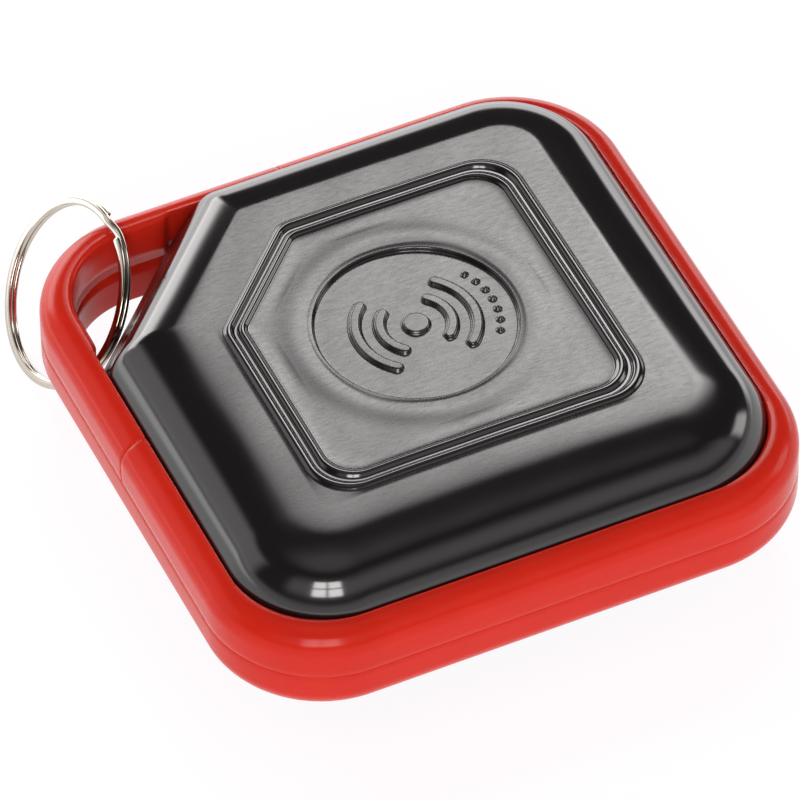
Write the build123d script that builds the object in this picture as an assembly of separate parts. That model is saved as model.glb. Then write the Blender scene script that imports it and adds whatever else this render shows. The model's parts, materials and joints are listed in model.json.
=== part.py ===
"""Key-ring percussion shaker: a red frame clamps two black domed shells that hold loose steel shot.

Millimetres. +Z is up through the thickness, the sides run along X and Y, and the key ring's corner is
at -X, +Y. The origin is the centre of the lower shell's flat underside, which it stands on.
"""

from build123d import *
import os
from math import cos, radians, sin, sqrt

# Driving dimensions
side = 64.0                # outside of the square frame
frame_thickness = 10.6     # frame, face to face
frame_corner = 12.5        # outer corner radius of the frame
shell_side = 58.1          # shell where it comes out of the frame
shell_corner = 10.7        # its three round corners
wall = 1.5                 # moulded wall of the shells
plateau_height = 10.6      # flat face of a shell, from the parting plane
shoulder_height = 9.95     # dome just short of the flat face; the cavity's roof is a wall below it
bead_rise = 0.35           # trim beads on the upper shell, above its flat face
ring_mean_radius = 9.55    # key ring, middle of the wire
shot_radius = 1.2
shot_count = 16
shot_pitch = 3.0           # spacing of the shot's paths across the cavity

half = side / 2
frame_half = frame_thickness / 2
shell_half = shell_side / 2
parting = Pos(0, 0, plateau_height)        # up from the flat underside

# The frame
gap = 0.1                  # clearance round the shells
edge_round = 2.8           # outer top and bottom edges
bow_half = 28.5            # inside of the corner bow
bow_corner = 9.0
bow_edge = 0.6             # broken inner edges of the bow
seam_place = 1.5           # where the upper half is divided, from the middle of a side
seam_gap = 0.06
flange_out = 1.15          # shell flange, outside the shell wall
flange_thickness = 1.0     # each shell's share
tongue_width = 0.6
tongue_height = 0.5
tongue_half = 31.4         # outside of the tongue
fit_gap = 0.05

# The shells. The cut corner is the line y - x = cut.
cut_middle = 43.5          # at the parting plane
cut_frame = 40.3           # level with the frame's face
cut_plateau = 31.9
cut_corner = 2.5           # small corners at the ends of the cut, at the frame
plateau_inset = 6.9
plateau_corner = 4.2

# Trim and disc on each shell
bead_half = 18.25          # outside of the outer bead
bead_cut = 25.2
bead_corner = 4.6
bead_cut_corner = 2.2      # small corners of the beads at the ends of the cut
bead_width = 0.75
bead_step = 1.45           # from one bead's outside to the next
disc_radius = 10.4
disc_depth = 0.7
mark_rise = 0.45

# The key ring: centre from the parting plane's middle, and the slope of its plane to the base
ring_centre = (-25.85, 29.5, -1.88)
ring_slope = 57.4
wire_width = 0.9           # along the ring's radius
turn_thickness = 0.52      # along the ring's axis
turn_gap = 0.04
step_start = 85.0          # crossing from one turn to the other, in degrees round the ring
step_span = 16.0
end_gap = 2.5


def outline(size, corner, cut, small):
    """A square of half side size with round corners, cut off along y - x = cut at one of them."""
    points = [(size, size), (size - cut, size), (-size, cut - size), (-size, -size), (size, -size)]
    face = make_face(Polyline(*points, close=True))
    ends = face.vertices().filter_by(lambda v: v.Y - v.X > cut - 0.01)
    face = fillet(ends, small)
    rounds = [v for v in face.vertices() if abs(abs(v.X) - size) < 1e-4 and abs(abs(v.Y) - size) < 1e-4]
    return fillet(rounds, corner)


def plain_outline(size, corner):
    return RectangleRounded(2 * size, 2 * size, corner)


def slab(face, low, high):
    return Pos(0, 0, low) * extrude(face, high - low)


def dome_sections(inset):
    """Sections of a shell from the parting plane up, set in by a wall thickness."""
    skirt = [(0.0, 0.0), (1.0, 0.4), (frame_half, cut_middle - cut_frame)]
    slope = [(0.5, 6.4), (1.2, 7.7), (2.0, 8.7), (3.0, 9.5), (4.2, shoulder_height), (5.8, 10.35)]
    rings = []
    for height, back in skirt:
        rings.append((height, 0.0, cut_middle - back))
    for step, height in slope:
        rings.append((height, step, cut_frame - (cut_frame - cut_plateau) * step / plateau_inset))
    rings.append((plateau_height, plateau_inset, cut_plateau))
    if inset:
        rings = [ring for ring in rings if ring[0] <= shoulder_height]
    sections = []
    for height, step, cut in rings:
        size = shell_half - step - inset
        share = step / plateau_inset
        corner = shell_corner + (plateau_corner - shell_corner) * share - inset * 0.6
        small = cut_corner * (1 - 0.5 * share)
        level = max(height - inset, 0.0) if height > frame_half else height * (frame_half - inset) / frame_half
        sections.append(Pos(0, 0, level) * outline(size, corner, cut - 1.45 * inset, small))
    return sections


def mark():
    """A dot between two pairs of arcs, and a row of small dots beside it."""
    shape = Circle(1.5)
    for radius in (3.7, 6.2):
        for start in (-48, 132):
            shape += SlotArc(CenterArc((0, 0), radius, start, 96), 1.3)
    for angle in range(-30, 31, 10):
        shape += Pos(8.5 * cos(radians(angle)), 8.5 * sin(radians(angle))) * Circle(0.38)
    return shape


def plain_shell():
    """A hollow moulded shell with its roof up, its open side on the parting plane."""
    body = loft(dome_sections(0), ruled=True)
    flange = outline(shell_half + flange_out, shell_corner + flange_out, cut_middle, 0.8)
    body += slab(flange, 0, flange_thickness)
    return body - loft(dome_sections(wall), ruled=True)


def trim_bands():
    """The two flat bands, one inside the other, that follow the shell's outline."""
    bands = []
    for place in (0, bead_step):
        outer = outline(bead_half - place, bead_corner - 0.6 * place, bead_cut - 1.2 * place, bead_cut_corner)
        inner_half = bead_half - place - bead_width
        inner = outline(inner_half, bead_corner - 0.6 * place - 0.5, bead_cut - 1.2 * place - 0.9, bead_cut_corner - 0.4)
        bands.append(outer - inner)
    return bands


def upper_shell():
    """The shell with raised beads and a mark in a sunk disc."""
    body = plain_shell()
    for band in trim_bands():
        body += slab(band, plateau_height - 0.1, plateau_height + bead_rise)
    floor = plateau_height - disc_depth
    body -= slab(Circle(disc_radius), floor, plateau_height + 1)
    return body + slab(mark(), floor - 0.1, floor + mark_rise)


def lower_shell():
    """The same shell turned over about the line through the cut corner, with the trim sunk in."""
    body = plain_shell()
    for band in trim_bands():
        body -= slab(band, plateau_height - bead_rise, plateau_height + 1)
    return body.rotate(Axis((0, 0, 0), (-1, 1, 0)), 180)


def frame_half_ring():
    """The lower half of the frame with its flange groove, before tongue and divisions."""
    block = slab(plain_outline(half, frame_corner), -frame_half, 0)
    rim = block.edges().group_by(Axis.Z)[0]
    block = fillet(rim, edge_round)
    pocket = outline(shell_half + gap, shell_corner + gap, cut_middle + 2 * gap, 0.8)
    block -= slab(pocket, -frame_half, 0)
    block -= slab(plain_outline(bow_half, bow_corner), -frame_half, 0)
    mouth = plain_outline(bow_half + bow_edge, bow_corner + bow_edge)
    throat = plain_outline(bow_half, bow_corner)
    block -= loft([Pos(0, 0, -frame_half) * mouth, Pos(0, 0, bow_edge - frame_half) * throat], ruled=True)
    groove_half = shell_half + flange_out + gap
    groove = outline(groove_half, shell_corner + flange_out + gap, cut_middle + 2 * gap, 0.8)
    block -= slab(groove, -flange_thickness - gap, 0)
    return block


def tongue(grow):
    """The ridge that registers the halves, grown by a clearance for its groove."""
    outer = plain_outline(tongue_half + grow, frame_corner - half + tongue_half + grow)
    inner_half = tongue_half - tongue_width - grow
    inner = plain_outline(inner_half, frame_corner - half + inner_half)
    return slab(outer - inner, 0, tongue_height + grow)


def frame_parts():
    lower = frame_half_ring()
    upper = mirror(lower, about=Plane.XY) - tongue(fit_gap)
    reach = half + 1
    corner = Pos(-(reach + seam_place) / 2, (reach + seam_place) / 2) * Box(
        reach - seam_place, reach - seam_place, 4 * frame_half)
    grown = Pos(-(reach + seam_place - seam_gap) / 2, (reach + seam_place - seam_gap) / 2) * Box(
        reach - seam_place + seam_gap, reach - seam_place + seam_gap, 4 * frame_half)
    return {"frame_lower": lower + tongue(0), "corner_bow": upper & corner, "frame_upper": upper - grown}


def key_ring():
    """A split ring: two flat turns of wire, joined where one steps over to the other."""
    outer = ring_mean_radius + wire_width / 2
    inner = ring_mean_radius - wire_width / 2
    low = turn_gap / 2
    high = low + turn_thickness
    turn = slab(Circle(outer) - Circle(inner), low, high)
    turn = fillet(turn.edges(), 0.18)
    upper = turn - wedge(step_start - end_gap, end_gap)
    lower = mirror(turn, about=Plane.XY) - wedge(step_start + step_span, end_gap)
    bridge = slab(Circle(outer - 0.18) - Circle(inner + 0.18), -low - 0.2, low + 0.2)
    bridge &= wedge(step_start, step_span)
    across = Vector(0, 1, 0)
    normal = Vector(sin(radians(ring_slope)), 0, -cos(radians(ring_slope)))
    return Plane(ring_centre, x_dir=across, z_dir=normal) * (upper + lower + bridge)


def wedge(start, span):
    """A thick sector of the ring's circle, in degrees."""
    reach = 20
    points = [(0, 0)]
    for angle in (start, start + span):
        points.append((reach * cos(radians(angle)), reach * sin(radians(angle))))
    return slab(make_face(Polyline(*points, close=True)), -2, 2)


def shot():
    """One ball on each of the parallel paths, at uneven places along them, as they come to rest."""
    floor = wall - shoulder_height
    balls = {}
    for number in range(shot_count):
        across = (number - (shot_count - 1) / 2) * shot_pitch
        spread = (number * 0.618 + 0.35) % 1 - 0.5
        along = 26 * spread + (3 if across > 12 else 0)
        place = Pos(along, across, floor + shot_radius + 0.03)
        balls[f"shot_{number + 1:02d}"] = place * Sphere(shot_radius)
    return balls


def build():
    parts = frame_parts()
    parts["shell_top"] = upper_shell()
    parts["shell_bottom"] = lower_shell()
    parts["key_ring"] = key_ring()
    parts.update(shot())
    return parts


os.makedirs("parts", exist_ok=True)
for name, solid in build().items():
    export_step(parting * solid, f"parts/{name}.step")
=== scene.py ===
"""A key-ring percussion shaker on a white table: red frame, black domed shells, split ring."""
import json

import bpy
import numpy as np
from mathutils import Matrix, Vector


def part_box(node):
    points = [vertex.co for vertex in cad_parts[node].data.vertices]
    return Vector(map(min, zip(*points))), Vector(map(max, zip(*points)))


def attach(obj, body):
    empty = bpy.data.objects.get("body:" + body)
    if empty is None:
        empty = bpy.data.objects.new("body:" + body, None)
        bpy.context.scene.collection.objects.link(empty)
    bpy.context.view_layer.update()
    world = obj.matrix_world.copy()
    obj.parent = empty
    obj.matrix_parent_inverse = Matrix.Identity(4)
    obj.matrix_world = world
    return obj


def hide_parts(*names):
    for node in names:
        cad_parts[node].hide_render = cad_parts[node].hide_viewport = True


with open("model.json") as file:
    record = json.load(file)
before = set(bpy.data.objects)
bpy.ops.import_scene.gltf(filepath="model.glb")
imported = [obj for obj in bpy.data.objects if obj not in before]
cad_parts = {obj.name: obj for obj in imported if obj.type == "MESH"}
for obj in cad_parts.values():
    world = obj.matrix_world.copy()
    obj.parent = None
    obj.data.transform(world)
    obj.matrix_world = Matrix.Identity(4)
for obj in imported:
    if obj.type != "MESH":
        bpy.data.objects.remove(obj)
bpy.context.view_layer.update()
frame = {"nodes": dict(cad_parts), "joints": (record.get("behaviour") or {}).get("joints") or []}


# ---------------------------------------------------------------- studio
# A white table under a large soft box that hangs behind and above, with a bright wall low down behind.
# The camera is a long lens that looks down on the front corner of the shaker from the left.

scene = bpy.context.scene
scene.view_settings.view_transform = "Standard"

parting_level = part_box("frame_upper")[0].z        # where the frame's two halves meet
view_azimuth = -0.424
view_elevation = 0.822
view_roll = -0.013
view_distance = 0.963
view_shift = (-0.00171, -0.00080)                 # aim off the middle, right and up
lens_mm = 428.0

away = Vector((
    np.sin(view_azimuth) * np.cos(view_elevation),
    -np.cos(view_azimuth) * np.cos(view_elevation),
    np.sin(view_elevation),
))
level_right = Vector((np.cos(view_azimuth), np.sin(view_azimuth), 0))
level_up = away.cross(level_right)
right = level_right * np.cos(view_roll) + level_up * np.sin(view_roll)
up = level_up * np.cos(view_roll) - level_right * np.sin(view_roll)
aim = Vector((0, 0, parting_level)) + right * view_shift[0] + up * view_shift[1]

camera = bpy.data.objects.new("camera", bpy.data.cameras.new("camera"))
camera.data.lens = lens_mm
camera.data.sensor_width = 36
camera.data.clip_start = 0.01
turn = Matrix((right, up, away)).transposed()
camera.matrix_world = Matrix.Translation(aim + away * view_distance) @ turn.to_4x4()
scene.collection.objects.link(camera)
scene.camera = camera


# The room is a soft light of its own: how bright it is depends only on the direction one looks in,
# as a compass bearing from +Y towards +X and an elevation.
world = bpy.data.worlds.new("studio")
scene.world = world
world.use_nodes = True
nodes, links = world.node_tree.nodes, world.node_tree.links


def reckon(operation, *values):
    """A Math node on numbers or sockets."""
    node = nodes.new("ShaderNodeMath")
    node.operation = operation
    for socket, value in zip(node.inputs, values):
        if isinstance(value, (int, float)):
            socket.default_value = value
        else:
            links.new(value, socket)
    return node.outputs[0]


def fade(value, start, end):
    """A smooth step from 0 at start to 1 at end."""
    node = nodes.new("ShaderNodeMapRange")
    node.interpolation_type = "SMOOTHSTEP"
    node.inputs["From Min"].default_value = start
    node.inputs["From Max"].default_value = end
    links.new(value, node.inputs["Value"])
    return node.outputs["Result"]


direction = nodes.new("ShaderNodeSeparateXYZ")
links.new(nodes.new("ShaderNodeTexCoord").outputs["Generated"], direction.inputs[0])
bearing = reckon("DEGREES", reckon("ARCTAN2", direction.outputs["X"], direction.outputs["Y"]))
elevation = reckon("DEGREES", reckon("ARCSINE", direction.outputs["Z"]))


def glow(radiance, across, up_and_down, from_value=bearing):
    """A soft-edged patch of light: each pair of steps is where the patch fades in and fades out."""
    level = reckon("MULTIPLY", fade(elevation, *up_and_down[:2]), fade(elevation, *up_and_down[:1:-1]))
    width = reckon("MULTIPLY", fade(from_value, *across[:2]), fade(from_value, *across[:1:-1]))
    return reckon("MULTIPLY", reckon("MULTIPLY", level, width), float(radiance))


all_round = (-181, -180, 180, 181)
front_bearing = reckon("SUBTRACT", 180.0, reckon("ABSOLUTE", bearing))    # degrees off the front
patches = [
    glow(0.7, all_round, (-95, -91, 4, 11)),                            # pale walls at table level
    glow(10.5, (0, 34, 36, 50), (39, 41.5, 43, 60)),                    # soft box, behind and above
    glow(2.3, (-36, -28, 62, 80), (-12, -6, 6, 12)),                    # bright wall low down behind
    glow(5.6, (-36, -28, 3, 10), (4, 10, 22, 30)),                      # that wall, higher on the left
    glow(0.95, (-84, -70, -38, -22), (2, 10, 34, 47)),                  # card to the left
    glow(3.4, (80, 88, 102, 112), (8, 14, 28, 36)),                     # narrow card to the right
    glow(0.45, all_round, (62, 84, 91, 92)),                            # pale ceiling
    glow(0.62, (-80, -79, 60, 75), (10, 26, 34, 62), front_bearing),    # dim wall in front
]
# A window of four panes behind the camera
pane_glow = 8.5
pane_across = np.array((-8.0, -6.6, 6.6, 8.0))
pane_up = np.array((-7.0, -6.0, 6.0, 7.0))
for pane_bearing in (-164.0, -147.0):
    for pane_elevation in (25.5, 40.5):
        patches.append(glow(pane_glow, (pane_bearing + pane_across).tolist(),
                            (pane_elevation + pane_up).tolist()))
unlit_room = 0.05
total = reckon("ADD", patches[0], unlit_room)
for patch in patches[1:]:
    total = reckon("ADD", total, patch)
links.new(total, nodes["Background"].inputs["Strength"])
nodes["Background"].inputs["Color"].default_value = (1.0, 0.968, 0.962, 1)

# The table is plain white and glows on its own. Its far side glows brighter: a painted band of light
# standing where a backdrop would run up
table_reach = 3.0
table_glow = 0.88
far_glow = 1.2
table_corners = table_reach * np.array([(-1, -1, 0), (1, -1, 0), (1, 1, 0), (-1, 1, 0)])
table_mesh = bpy.data.meshes.new("table")
table_mesh.from_pydata(table_corners.tolist(), [], [(0, 1, 2, 3)])
table = bpy.data.objects.new("table", table_mesh)
scene.collection.objects.link(table)
table_paint = bpy.data.materials.new("table_paint")
table_paint.use_nodes = True
nodes, links = table_paint.node_tree.nodes, table_paint.node_tree.links
shader = nodes["Principled BSDF"]
shader.inputs["Base Color"].default_value = (0.16, 0.16, 0.16, 1)
shader.inputs["Roughness"].default_value = 0.7
shader.inputs["Emission Color"].default_value = (1, 0.985, 1, 1)
table_place = nodes.new("ShaderNodeSeparateXYZ")
links.new(nodes.new("ShaderNodeTexCoord").outputs["Object"], table_place.inputs[0])
# painted light: the far side of the table glows brighter
far_side = fade(table_place.outputs["Y"], 0.05, 0.10)
links.new(reckon("ADD", reckon("MULTIPLY", far_side, far_glow), table_glow),
          shader.inputs["Emission Strength"])
table.data.materials.append(table_paint)


# ---------------------------------------------------------------- red frame, lower half
# The closed lower half of the frame, injection-moulded in glossy red ABS. Its corner is the key
# ring's bow, and elsewhere its inner wall holds the flange of the lower shell.

mm = 0.001
frame_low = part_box("frame_lower")[0].z
frame_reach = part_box("frame_lower")[1].x
half_thickness = parting_level - frame_low
frame_corner = 12.5 * mm
edge_round = 2.8 * mm
pocket_reach = 29.11 * mm
pocket_corner = 10.76 * mm
pocket_cut = 43.7 * mm
pocket_edge = 0.12 * mm                           # broken edge round the shells
bow_reach = 28.5 * mm
bow_corner = 9.0 * mm
bow_edge = 0.6 * mm
parting_groove = 0.06 * mm
pocket_small = 0.8 * mm                           # corners of the pocket at the ends of the cut
blend = 0.24 * mm                                 # rounding where the pocket runs into the bow
face_gap = 0.012 * mm                             # each half stops short of the parting plane
skin = 0.8 * mm                                   # a row of points close to the parting plane


def rounded_outline(angles, reach, corner, cut=None, small=None):
    """Distance from the centre to the outline along each angle. The outline is a square that reaches
    as far as reach, with its corners turned on arcs. With cut, the corner at -X +Y is cut off along
    y - x = cut, and small is the arc at both ends of the cut. Each arc touches both of its sides: it
    starts radius * tan(turn / 2) before the corner point and turns through the angle between them."""
    if cut is None:
        points = [(reach, reach), (-reach, reach), (-reach, -reach), (reach, -reach)]
        arcs = [corner] * 4
    else:
        points = [(reach, reach), (reach - cut, reach), (-reach, cut - reach), (-reach, -reach),
                  (reach, -reach)]
        arcs = [corner, small, small, corner, corner]
    points = np.array(points)
    walk = []
    steps = np.linspace(0, 1, 60)[:, None]
    neighbours = np.roll(points, 1, 0), np.roll(points, -1, 0)
    for point, before, after, radius in zip(points, *neighbours, arcs):
        ahead = (point - before) / np.linalg.norm(point - before)
        onward = (after - point) / np.linalg.norm(after - point)
        bend = np.arccos(np.clip(ahead @ onward, -1, 1))
        inward = np.array((-ahead[1], ahead[0]))
        middle = point - ahead * radius * np.tan(bend / 2) + inward * radius
        walk.append(middle + radius * (ahead * np.sin(steps * bend) - inward * np.cos(steps * bend)))
    walk = np.concatenate(walk)
    walk = np.concatenate([walk, walk[:1]])
    fine = []
    for start, end in zip(walk[:-1], walk[1:]):
        count = max(2, int(np.linalg.norm(end - start) / (0.05 * mm)))
        share = np.linspace(0, 1, count, endpoint=False)[:, None]
        fine.append(start + (end - start) * share)
    fine = np.concatenate(fine)
    bearing = np.arctan2(fine[:, 1], fine[:, 0])
    order = np.argsort(bearing)
    return np.interp(angles, bearing[order], np.hypot(*fine.T)[order], period=2 * np.pi)


def ring_of_points(angles, radii, level):
    """Points at a distance and a level for each angle round the centre."""
    level = np.broadcast_to(level, angles.shape)
    return np.stack([radii * np.cos(angles), radii * np.sin(angles), level], axis=-1)


def crowded_angles(start, end, count):
    """Angles from start to end, closer together near the corners of the outlines, where each
    corner adds a bell-shaped share to the density."""
    fine = np.linspace(start, end, 20000)
    density = np.ones_like(fine)
    round_corners = [(45, 20, 1.2), (225, 20, 1.2), (315, 20, 1.2), (135, 20, 0.6)]
    cut_ends = [(112.0, 3.0, 4.5), (158.0, 3.0, 4.5)]
    for middle, width, weight in round_corners + cut_ends:
        off = (np.degrees(fine) - middle + 180) % 360 - 180
        density += weight * np.exp(-(off / width) ** 2)
    total = np.concatenate([[0], np.cumsum((density[1:] + density[:-1]) / 2)])
    return np.interp(np.linspace(0, total[-1], count), total, fine)


def add_surface(name, grid, material, body, cad_node,
                rows_meet=False, columns_meet=False, ends=(), satin=None):
    """A mesh over a grid of points, one row after another. Rows or columns may meet round a loop, and
    ends names the sides closed by a fan: first_row, last_row, first_column, last_column. satin says how
    dull each row's surface is, from 0 to 1, and is kept as an attribute of the points."""
    rows, columns = grid.shape[:2]
    index = np.arange(rows * columns).reshape(rows, columns)
    low = np.concatenate([index, index[:1]]) if rows_meet else index
    low = np.concatenate([low, low[:, :1]], axis=1) if columns_meet else low
    quads = np.stack([low[:-1, :-1], low[:-1, 1:], low[1:, 1:], low[1:, :-1]], axis=-1).reshape(-1, 4)
    points = grid.reshape(-1, 3)
    fans = []
    for end in ends:
        side = {"first_row": low[0, ::-1], "last_row": low[-1],
                "first_column": low[:, 0], "last_column": low[::-1, -1]}[end]
        hub = len(points)
        points = np.concatenate([points, points[side].mean(axis=0)[None]])
        fans.append(np.stack([side[:-1], side[1:], np.full(len(side) - 1, hub)], axis=-1))
    mesh = bpy.data.meshes.new(name)
    mesh.from_pydata(points.tolist(), [], quads.tolist() + [face for fan in fans for face in fan.tolist()])
    mesh.polygons.foreach_set("use_smooth", np.ones(len(mesh.polygons), bool))
    mesh.materials.append(material)
    if satin is not None:
        dullness = np.concatenate([np.repeat(np.asarray(satin, float), columns), satin[:1], satin[-1:]])
        attribute = mesh.attributes.new("satin", "FLOAT", "POINT")
        attribute.data.foreach_set("value", dullness.astype(np.float32))
    piece = bpy.data.objects.new(name, mesh)
    scene.collection.objects.link(piece)
    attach(piece, body)
    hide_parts(cad_node)


def new_material(name, colour, roughness, ior=1.5):
    """A material and its shader, with the even values that the nodes then vary."""
    material = bpy.data.materials.new(name)
    material.use_nodes = True
    shader = material.node_tree.nodes["Principled BSDF"]
    shader.inputs["Base Color"].default_value = (*colour, 1)
    shader.inputs["Roughness"].default_value = roughness
    shader.inputs["IOR"].default_value = ior
    return material, shader


def add_node(material, kind, **values):
    """A node, with input sockets set by name and its own settings set by a leading underscore."""
    node = material.node_tree.nodes.new(kind)
    for key, value in values.items():
        if key.startswith("_"):
            setattr(node, key[1:], value)
        else:
            node.inputs[key.replace("_", " ")].default_value = value
    return node


def join(material, start, end):
    """A link from an output socket to an input socket."""
    material.node_tree.links.new(start, end)


def object_place(material, scale=(1, 1, 1)):
    """Object coordinates, scaled along each axis."""
    source = add_node(material, "ShaderNodeTexCoord")
    mapping = add_node(material, "ShaderNodeMapping")
    mapping.inputs["Scale"].default_value = scale
    join(material, source.outputs["Object"], mapping.inputs["Vector"])
    return mapping.outputs["Vector"]


def spread(material, value, low, high):
    """A 0 to 1 value stretched to run from low to high."""
    node = add_node(material, "ShaderNodeMapRange", To_Min=low, To_Max=high)
    join(material, value, node.inputs["Value"])
    return node.outputs["Result"]


red_abs, shader = new_material("red_abs", (0.66, 0.018, 0.010), 0.22)
shader.inputs["Specular IOR Level"].default_value = 0.17
shader.inputs["Subsurface Weight"].default_value = 0.06
shader.inputs["Subsurface Radius"].default_value = (1.0, 0.15, 0.08)
shader.inputs["Subsurface Scale"].default_value = 0.0012
cloud = add_node(red_abs, "ShaderNodeTexNoise", Scale=140.0, Detail=4.0)
join(red_abs, object_place(red_abs), cloud.inputs["Vector"])
join(red_abs, spread(red_abs, cloud.outputs["Fac"], 0.13, 0.23), shader.inputs["Roughness"])
tint = add_node(red_abs, "ShaderNodeValToRGB")
tint.color_ramp.elements[0].color = (0.57, 0.018, 0.008, 1)
tint.color_ramp.elements[1].color = (0.66, 0.024, 0.011, 1)
join(red_abs, cloud.outputs["Fac"], tint.inputs["Fac"])
join(red_abs, tint.outputs["Color"], shader.inputs["Base Color"])
grain = add_node(red_abs, "ShaderNodeTexNoise", Scale=900.0, Detail=2.0)
join(red_abs, object_place(red_abs), grain.inputs["Vector"])
relief = add_node(red_abs, "ShaderNodeBump", Strength=0.10, Distance=0.00004)
join(red_abs, grain.outputs["Fac"], relief.inputs["Height"])
join(red_abs, relief.outputs["Normal"], shader.inputs["Normal"])


def frame_section(angles, upper):
    """The frame's half section carried round the centre: up the outer wall, in across the parting
    face or the outer face, and back round the inner wall. Each row is one outline at its own level;
    the outer edge is a quarter circle, offset inward by radius * (1 - cos) as it rises by radius * sin.
    The inner wall is the larger of the shells' pocket and the bow's inside, joined by a hyperbola."""
    def larger(one, other):
        return (one + other + np.sqrt((one - other) ** 2 + blend ** 2)) / 2

    inner = larger(rounded_outline(angles, pocket_reach, pocket_corner, pocket_cut, pocket_small),
                   rounded_outline(angles, bow_reach, bow_corner))
    broken = larger(rounded_outline(angles, pocket_reach + pocket_edge, pocket_corner, pocket_cut,
                                    pocket_small),
                    rounded_outline(angles, bow_reach + bow_edge, bow_corner + bow_edge))
    wall = []
    for inset, level in ((parting_groove, face_gap), (0.25 * parting_groove, 0.6 * parting_groove),
                         (0, 1.2 * parting_groove), (0, skin), (0, half_thickness - edge_round)):
        wall.append((rounded_outline(angles, frame_reach - inset, frame_corner - inset), level))
    for lean in np.radians(np.linspace(6, 90, 15)):
        inset = edge_round * (1 - np.cos(lean))
        level = half_thickness - edge_round + edge_round * np.sin(lean)
        wall.append((rounded_outline(angles, frame_reach - inset, frame_corner - inset), level))
    outer_end = wall[-1][0]
    for share in (0.35, 0.7):
        wall.append((outer_end + (broken - outer_end) * share, half_thickness))
    for lean in np.radians(np.linspace(0, 90, 6)):
        depth = bow_edge * (1 - np.cos(lean))
        wall.append((inner + (broken - inner) * (1 - np.sin(lean)), half_thickness - depth))
    for level in (0.6, 0.3, 0.0):
        wall.append((inner, level * half_thickness + (1 - level) * face_gap))
    sign = 1 if upper else -1
    rows = [ring_of_points(angles, radii, parting_level + sign * level) for radii, level in wall]
    return np.array(rows if upper else rows[::-1])


loop_angles = crowded_angles(0, 2 * np.pi, 561)[:-1]
add_surface("red_frame_lower", frame_section(loop_angles, upper=False), red_abs, "shaker",
            "frame_lower", rows_meet=True, columns_meet=True)


# ---------------------------------------------------------------- red frame, upper half and corner bow
# The upper half is two mouldings of the same red ABS: a C round three corners, and the bow that closes
# the key ring's corner. They butt together at two short seams with a faint broken edge.

seam_angles = np.radians((92.82, 177.18))
seam_softness = 0.07 * mm
seam_lip = 0.16 * mm                              # width of the broken edge at a seam


def soften_ends(grid):
    """Pulls the first and last section in a little towards its middle, so that the seam shows."""
    for column in (0, -1):
        middle = grid[:, column].mean(axis=0)
        offset = grid[:, column] - middle
        length = np.linalg.norm(offset, axis=-1, keepdims=True)
        grid[:, column] = middle + offset * (1 - seam_softness / length)
    return grid


def seam_span(start, end, count):
    """Angles across one moulding, with a narrow step at both ends for the broken edge."""
    lip = seam_lip / frame_reach
    between = crowded_angles(start + lip, end - lip, count)
    return np.concatenate([[start + 0.1 * lip], between, [end - 0.1 * lip]])


c_angles = seam_span(seam_angles[1], seam_angles[0] + 2 * np.pi, 420)
add_surface("red_frame_upper", soften_ends(frame_section(c_angles, upper=True)), red_abs, "shaker",
            "frame_upper", rows_meet=True, ends=("first_column", "last_column"))
bow_angles = seam_span(seam_angles[0], seam_angles[1], 200)
add_surface("red_corner_bow", soften_ends(frame_section(bow_angles, upper=True)), red_abs, "shaker",
            "corner_bow", rows_meet=True, ends=("first_column", "last_column"))


# ---------------------------------------------------------------- upper shell
# The upper half of the rattle's body, moulded in glossy black ABS: a convex slope up to a flat face,
# two trim beads round a dished panel, and a sunk disc with a raised generic mark.

shell_reach = 29.05 * mm
shell_corner = 10.7 * mm
cut_at_parting = 43.5 * mm
cut_at_frame = 40.3 * mm
cut_at_flat = 31.9 * mm
cut_small = 2.5 * mm
flat_inset = 6.9 * mm
flat_corner = 4.2 * mm
edge_lift = 1.6 * mm
edge_softness = 0.20 * mm
shell_wall = 1.5 * mm
cavity_roof = 8.45 * mm                           # from the parting plane
flat_level = parting_level                        # each flat face is as far from the parting plane
trim_reach = 18.25 * mm                           # outside of the trim
trim_corner = 4.6 * mm
trim_cut = 25.2 * mm
trim_small = 2.6 * mm
panel_dish = 0.14 * mm                            # how far the panel inside the trim is sunk
disc_radius = 10.4 * mm
disc_depth = 0.7 * mm
swell_radius = 12.3 * mm                          # the soft swell round the disc
swell_width = 1.5 * mm
swell_rise = 0.10 * mm
mark_rise = 0.45 * mm
upper_crown = 0.48 * mm
upper_waves = 0.028 * mm
lightest_side = np.radians(62)                    # the flat face's edge is sharpest on this side


def slope_outline(angles, inset):
    """The shell's outline set in from the frame line: its cut moves in a little slower than its
    sides, and its corners tighten on the way to the flat face."""
    share = inset / flat_inset
    cut = cut_at_frame + (cut_at_flat - cut_at_frame) * share
    corner = shell_corner + (flat_corner - shell_corner) * share
    small = cut_small * (1 - 0.55 * share)
    return rounded_outline(angles, shell_reach - inset, corner, cut, small)


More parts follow.
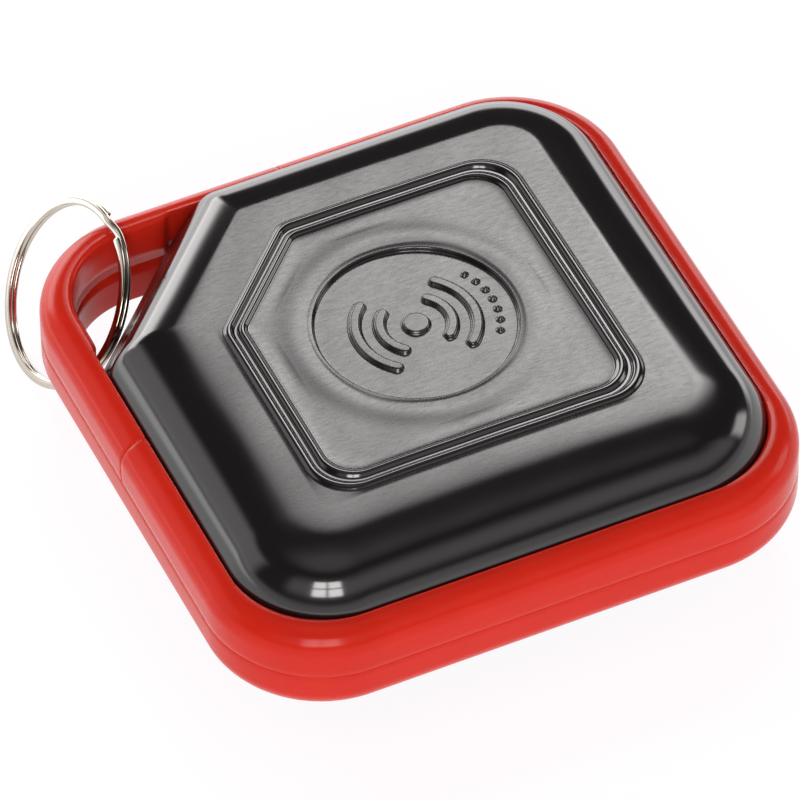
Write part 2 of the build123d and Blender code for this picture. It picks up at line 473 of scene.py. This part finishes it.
def dome_rows(angles):
    """Rows from the parting plane to the trim, as levels above the parting plane and how dull each
    is. The skirt leans back at the cut. The slope rises as a straight share plus 1 - (1 - run)^4, so
    it meets the flat face at an angle. A hyperbola rounds that edge: a drop below the flat face
    becomes (drop + sqrt(drop^2 + 4 softness^2)) / 2, which is softer at the front and the left."""
    rows = []
    for share in np.linspace(0, 1, 7)[:-1]:
        cut = cut_at_parting + (cut_at_frame - cut_at_parting) * share ** 1.5
        skirt = rounded_outline(angles, shell_reach, shell_corner, cut, cut_small)
        rows.append((skirt, share * half_thickness, 0.8))
    rise = flat_level - half_thickness
    facing = np.clip(0.5 - 0.9 * np.cos(angles - lightest_side), 0, 1)
    softness = edge_softness * (0.12 + 0.88 * facing ** 2 * (3 - 2 * facing))
    for run in np.concatenate([np.linspace(0, 0.3, 12), np.linspace(0.33, 0.9, 16),
                               np.linspace(0.92, 1.1, 12), np.linspace(1.13, 1.52, 9)]):
        climb = edge_lift * run + (rise - edge_lift) * (1 - (1 - min(run, 1)) ** 4)
        drop = rise - climb
        level = flat_level - (drop + np.sqrt(drop ** 2 + 4 * softness ** 2)) / 2
        rows.append((slope_outline(angles, run * flat_inset), level, np.clip((run - 0.93) / 0.14, 0, 1)))
    return rows


def panel_rows(angles, profile):
    """Rows across the flat face: the trim's outline set in step by step, with its height profile. Its
    corners and its cut shrink a little at each step. The trim itself is polished."""
    rows = []
    for step in np.concatenate([np.arange(-0.2, 3.3, 0.11), [3.6, 4.2]]):
        rise = np.interp(step, trim_steps, profile)
        outline = rounded_outline(angles, trim_reach - step * mm, trim_corner - 0.5 * step * mm,
                                  trim_cut - 1.25 * step * mm, trim_small - 0.3 * step * mm)
        rows.append((outline, flat_level + rise * mm, float(step < -0.05 or step > 2.5)))
    return rows


def cavity_rows(angles):
    """Rows of the inside, from the parting plane up to the middle of its flat roof. It is the shell's
    shape a wall thickness further in, so that the loose balls roll up to it and no further."""
    roof = cavity_roof / mm
    rows = []
    for level, step, cut in ((0, 0, 41.325), (0.72, 0, 40.925), (3.8, 0, 38.125), (4.9, 0.5, 37.516),
                             (6.2, 1.2, 36.664), (7.2, 2.0, 35.69), (8.0, 3.0, 34.473),
                             (roof, 4.2, 33.012), (roof, 16.5, 16.7)):
        corner = 9.8 - 0.942 * min(step, 8)
        small = 2.5 - 0.181 * min(step, 8)
        outline = rounded_outline(angles, shell_reach - shell_wall - step * mm, corner * mm, cut * mm,
                                  small * mm)
        rows.append((outline, level * mm, 1))
    return rows


trim_steps = np.arange(-0.2, 4.3, 0.02)           # millimetres in from the outside of the trim


def bead(middle, width, rise):
    """Height of a half-round bead across the trim, in millimetres."""
    off = (trim_steps - middle) / (width / 2)
    return rise * np.sqrt(np.clip(1 - off * off, 0, None))


def upper_trim():
    """Height across the trim in millimetres: a wide bead, a groove with a flat floor, a narrower bead,
    and the panel, which dishes as 1 - exp(-distance) behind the second bead."""
    groove = 0.12 * ((trim_steps > 0.9) & (trim_steps < 1.45))
    dish = panel_dish / mm * (1 - np.exp(-np.clip(trim_steps - 2.25, 0, None) / 0.5))
    return bead(0.45, 0.9, 0.33) + bead(1.85, 0.8, 0.30) - groove - dish


def mark_height(x, y):
    """Height of the raised mark in millimetres: a dot between two pairs of arcs and a row of small
    dots. Each stroke is a rounded ridge, from its distance to the stroke's middle line."""
    radius = np.hypot(x, y)
    bearing = np.arctan2(y, x)

    def ridge(distance, half_width):
        return np.clip((half_width - distance) / 0.22, 0, 1)

    def smooth(value):
        return value * value * (3 - 2 * value)

    height = smooth(ridge(radius, 1.5))
    span = np.radians(48)
    for arc in (3.7, 6.2):
        for middle in (0.0, np.pi):
            off = np.abs((bearing - middle + np.pi) % (2 * np.pi) - np.pi)
            beyond = np.clip(off - span, 0, None)
            end_x, end_y = arc * np.cos(span), arc * np.sin(span)
            from_end = np.hypot(radius * np.cos(off) - end_x, radius * np.sin(off) - end_y)
            along = np.where(beyond > 0, from_end, np.abs(radius - arc))
            height = np.maximum(height, smooth(ridge(along, 0.65)))
    for angle in np.radians(np.arange(-30, 31, 10)):
        distance = np.hypot(x - 8.5 * np.cos(angle), y - 8.5 * np.sin(angle))
        height = np.maximum(height, smooth(ridge(distance, 0.38)))
    return height


def disc_rows(angles, start):
    """Rows from the panel in to the sunk disc and its middle: the outline turns into circles, a soft
    swell rings the disc, the rim drops sharply, and the mark stands on the floor."""
    rows = []
    circle = disc_radius + 0.4 * mm
    for share in np.linspace(0.08, 0.97, 13):
        radii = start + (circle - start) * share
        swell = swell_rise * np.exp(-((radii - swell_radius) / swell_width) ** 2)
        rows.append((radii, flat_level - panel_dish + swell, 1))
    rim = ((10.75, -0.15), (10.55, -0.145), (10.46, -0.16), (10.41, -0.20), (10.38, -0.26),
           (10.34, -0.60), (10.30, -0.66), (10.22, -0.695), (10.1, -0.70), (9.6, -0.70))
    for radius, level in rim:
        rows.append((np.full_like(angles, radius * mm), flat_level + level * mm,
                     float(radius > 10.5 or radius < 10.3)))
    floor = flat_level - disc_depth
    # Close together over the strokes of the mark, and further apart between them
    for radius in np.concatenate([np.linspace(9.2, 7.2, 16), np.linspace(7.0, 5.4, 15),
                                  np.linspace(5.15, 4.7, 3), np.linspace(4.5, 2.9, 15),
                                  np.linspace(2.6, 1.75, 3), np.linspace(1.6, 1.1, 6), [0.7, 0.35, 0.12]]):
        height = mark_height(radius * np.cos(angles), radius * np.sin(angles))
        rows.append((np.full_like(angles, radius * mm), floor + height * mark_rise, 1))
    return rows


def shell_grid(angles, outside, crown, wave_height):
    """The cavity's rows from its middle down to the rim, then the outside's rows up to its middle.
    The flat face may be slightly crowned: it falls off with the square of the distance from the middle,
    and long shallow waves, a sine along X times a cosine along Y, stand for the moulding's sink marks."""
    points, dullness = [], []
    inside = cavity_rows(angles)[::-1]
    for number, (radii, level, dull) in enumerate(inside + outside):
        flatness = np.clip((level - half_thickness) / (flat_level - half_thickness), 0, 1)
        x, y = radii * np.cos(angles) / mm, radii * np.sin(angles) / mm
        wave = wave_height * np.sin(0.42 * x + 1.3) * np.cos(0.36 * y - 0.25 * x + 0.4) - wave_height
        fall = (crown * (radii / shell_reach) ** 2 - wave) * flatness ** 3 * (number >= len(inside))
        points.append(ring_of_points(angles, radii, parting_level + level - fall))
        dullness.append(dull)
    return np.array(points), np.array(dullness)


black_abs, shader = new_material("black_abs", (0.008, 0.0072, 0.007), 0.16, ior=1.72)
place = object_place(black_abs)
# The flat faces are finely brushed, and the slopes and the trim are polished
satin = add_node(black_abs, "ShaderNodeAttribute", _attribute_name="satin").outputs["Fac"]
streak = add_node(black_abs, "ShaderNodeTexNoise", Scale=1.0, Detail=5.0, Roughness=0.65)
join(black_abs, object_place(black_abs, (900, 3600, 900)), streak.inputs["Vector"])
grain = add_node(black_abs, "ShaderNodeTexNoise", Scale=5200.0, Detail=2.0)
join(black_abs, place, grain.inputs["Vector"])
cloud = add_node(black_abs, "ShaderNodeTexNoise", Scale=160.0, Detail=3.0)
join(black_abs, place, cloud.inputs["Vector"])
dull = spread(black_abs, streak.outputs["Fac"], 0.17, 0.35)
gloss = spread(black_abs, cloud.outputs["Fac"], 0.09, 0.15)
choose = add_node(black_abs, "ShaderNodeMix")
join(black_abs, satin, choose.inputs[0])
join(black_abs, gloss, choose.inputs[2])
join(black_abs, dull, choose.inputs[3])
join(black_abs, choose.outputs[0], shader.inputs["Roughness"])
tooth = add_node(black_abs, "ShaderNodeMath", _operation="ADD")
join(black_abs, streak.outputs["Fac"], tooth.inputs[0])
join(black_abs, grain.outputs["Fac"], tooth.inputs[1])
depth = add_node(black_abs, "ShaderNodeMath", _operation="MULTIPLY")
join(black_abs, tooth.outputs[0], depth.inputs[0])
join(black_abs, satin, depth.inputs[1])
relief = add_node(black_abs, "ShaderNodeBump", Strength=0.30, Distance=0.000008)
join(black_abs, depth.outputs[0], relief.inputs["Height"])
join(black_abs, relief.outputs["Normal"], shader.inputs["Normal"])

shell_angles = crowded_angles(0, 2 * np.pi, 601)[:-1]
panel = panel_rows(shell_angles, upper_trim())
outside = dome_rows(shell_angles) + panel + disc_rows(shell_angles, panel[-1][0])
grid, dullness = shell_grid(shell_angles, outside, upper_crown, upper_waves)
add_surface("black_shell_upper", grid, black_abs, "shaker", "shell_top",
            columns_meet=True, ends=("first_row", "last_row"), satin=dullness)


# ---------------------------------------------------------------- lower shell
# The same moulding in black ABS, turned over about the line through the cut corner. Its flat face has
# the trim as two shallow round grooves, so that the shaker stands flat.

lower_trim = -bead(0.4, 0.75, 0.3) - bead(1.8, 0.75, 0.3)
panel = panel_rows(shell_angles, lower_trim)
centre_rows = [(panel[-1][0] * share, flat_level, 1) for share in (0.75, 0.4, 0.1)]
outside = dome_rows(shell_angles) + panel + centre_rows
upright, dullness = shell_grid(shell_angles, outside, crown=0, wave_height=0)
turned = np.stack([-upright[..., 1], -upright[..., 0], 2 * parting_level - upright[..., 2]], axis=-1)
add_surface("black_shell_lower", turned, black_abs, "shaker", "shell_bottom",
            columns_meet=True, ends=("first_row", "last_row"), satin=dullness)


# ---------------------------------------------------------------- key ring
# A split ring of flat spring-steel wire, two turns closed on each other and nickel plated. The wire
# steps over from one turn to the other, and its two ends stop beside the step.

ring_hinge = next(joint for joint in frame["joints"] if joint["child"] == "key_ring")
ring_centre = np.array(ring_hinge["pos_m"])
ring_slope = np.radians(57.4)                     # the ring's plane leans up from the table
ring_radius = 9.55 * mm
wire_width = 0.9 * mm
wire_thickness = 0.52 * mm
turn_offset = 0.28 * mm
step_angles = np.radians((85, 101))               # where the wire steps over to the other turn
end_gap = np.radians(2.5)
edge_power = 3.5                                  # how square the wire's section is


def wire_path():
    """Angle and offset along the ring's axis: a low turn, a smooth step up, then a high turn."""
    full_turn = 2 * np.pi
    start = step_angles[1] + end_gap
    finish = step_angles[0] - end_gap + 2 * full_turn
    climb, level_off = step_angles + full_turn
    angle = np.concatenate([np.linspace(start, climb, 260, endpoint=False),
                            np.linspace(climb, level_off, 20, endpoint=False),
                            np.linspace(level_off, finish, 260)])
    share = np.clip((angle - climb) / (level_off - climb), 0, 1)
    return angle, turn_offset * (2 * share * share * (3 - 2 * share) - 1)


def wire_section(count):
    """A flat wire with well-rounded edges, as (across, along): a superellipse, which raises the
    cosine and the sine to 2 / power and keeps their signs."""
    turn = np.linspace(0, 2 * np.pi, count, endpoint=False)
    across = np.sign(np.cos(turn)) * np.abs(np.cos(turn)) ** (2 / edge_power) * wire_width / 2
    along = np.sign(np.sin(turn)) * np.abs(np.sin(turn)) ** (2 / edge_power) * wire_thickness / 2
    return across, along


# Spokes turn in the plane of first and second, and the wire's section lies along spoke and axis
angle, offset = wire_path()
across, along = wire_section(28)
first = np.array((0, 1, 0))
second = np.array((np.cos(ring_slope), 0, np.sin(ring_slope)))
axis = np.array((np.sin(ring_slope), 0, -np.cos(ring_slope)))
spoke = np.cos(angle)[:, None] * first + np.sin(angle)[:, None] * second
grid = (ring_centre + spoke[:, None] * (ring_radius + across)[None, :, None]
        + axis * (offset[:, None] + along[None, :])[..., None])

nickel, shader = new_material("nickel", (0.56, 0.52, 0.45), 0.08)
shader.inputs["Metallic"].default_value = 1.0
scuff = add_node(nickel, "ShaderNodeTexNoise", Scale=700.0, Detail=5.0)
join(nickel, object_place(nickel), scuff.inputs["Vector"])
join(nickel, spread(nickel, scuff.outputs["Fac"], 0.04, 0.20), shader.inputs["Roughness"])
plate = add_node(nickel, "ShaderNodeValToRGB")
plate.color_ramp.elements[0].color = (0.48, 0.43, 0.36, 1)
plate.color_ramp.elements[1].color = (0.66, 0.62, 0.55, 1)
join(nickel, scuff.outputs["Fac"], plate.inputs["Fac"])
join(nickel, plate.outputs["Color"], shader.inputs["Base Color"])
add_surface("split_ring", grid, nickel, "key_ring", "key_ring",
            columns_meet=True, ends=("first_row", "last_row"))


# ---------------------------------------------------------------- shot
# Loose steel balls in the closed cavity, which rattle when the shaker is moved. They are tumbled to a
# dull finish, and nothing holds them. Their shape is the model's own, and only their finish is new.

shot_steel, shader = new_material("shot_steel", (0.55, 0.55, 0.56), 0.25)
shader.inputs["Metallic"].default_value = 1.0
dull = add_node(shot_steel, "ShaderNodeTexNoise", Scale=1500.0, Detail=4.0)
join(shot_steel, object_place(shot_steel), dull.inputs["Vector"])
join(shot_steel, spread(shot_steel, dull.outputs["Fac"], 0.18, 0.4), shader.inputs["Roughness"])
tone = add_node(shot_steel, "ShaderNodeValToRGB")
tone.color_ramp.elements[0].color = (0.44, 0.44, 0.45, 1)
tone.color_ramp.elements[1].color = (0.62, 0.62, 0.63, 1)
join(shot_steel, dull.outputs["Fac"], tone.inputs["Fac"])
join(shot_steel, tone.outputs["Color"], shader.inputs["Base Color"])
for name, ball in frame["nodes"].items():
    if name.startswith("shot_"):
        ball.data.materials.clear()
        ball.data.materials.append(shot_steel)
